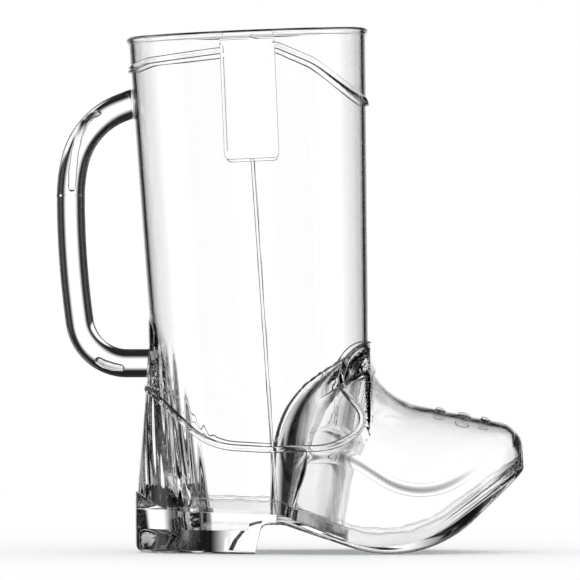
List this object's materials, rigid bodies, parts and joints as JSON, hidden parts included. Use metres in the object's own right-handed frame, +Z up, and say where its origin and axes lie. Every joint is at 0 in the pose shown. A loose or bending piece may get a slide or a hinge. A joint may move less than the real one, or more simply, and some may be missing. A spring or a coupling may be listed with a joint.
{
  "type": "plastic boot cup",
  "caption": "Clear plastic drinking cup shaped as a western boot, with a leaning round shaft, hollow toe, cemented sole and heel, raised piping and a round loop handle.",
  "frame": {"origin": "middle of the overall box, on the ground the cup stands on", "axes": "+Z up, +X from the handle to the toe, +Y to the left of the boot; the boot is mirrored about Y = 0"},
  "size_m": [0.1427, 0.0746, 0.16],
  "materials": {
    "clear_plastic": "clear, glossy moulded polystyrene",
    "cement": "clear set solvent cement"
  },
  "bodies": {
    "root": {"upper": "clear_plastic", "handle": "clear_plastic", "handle_bonds": "cement", "sole_unit": "clear_plastic", "sole_bond": "cement"}
  },
  "joints": []
}
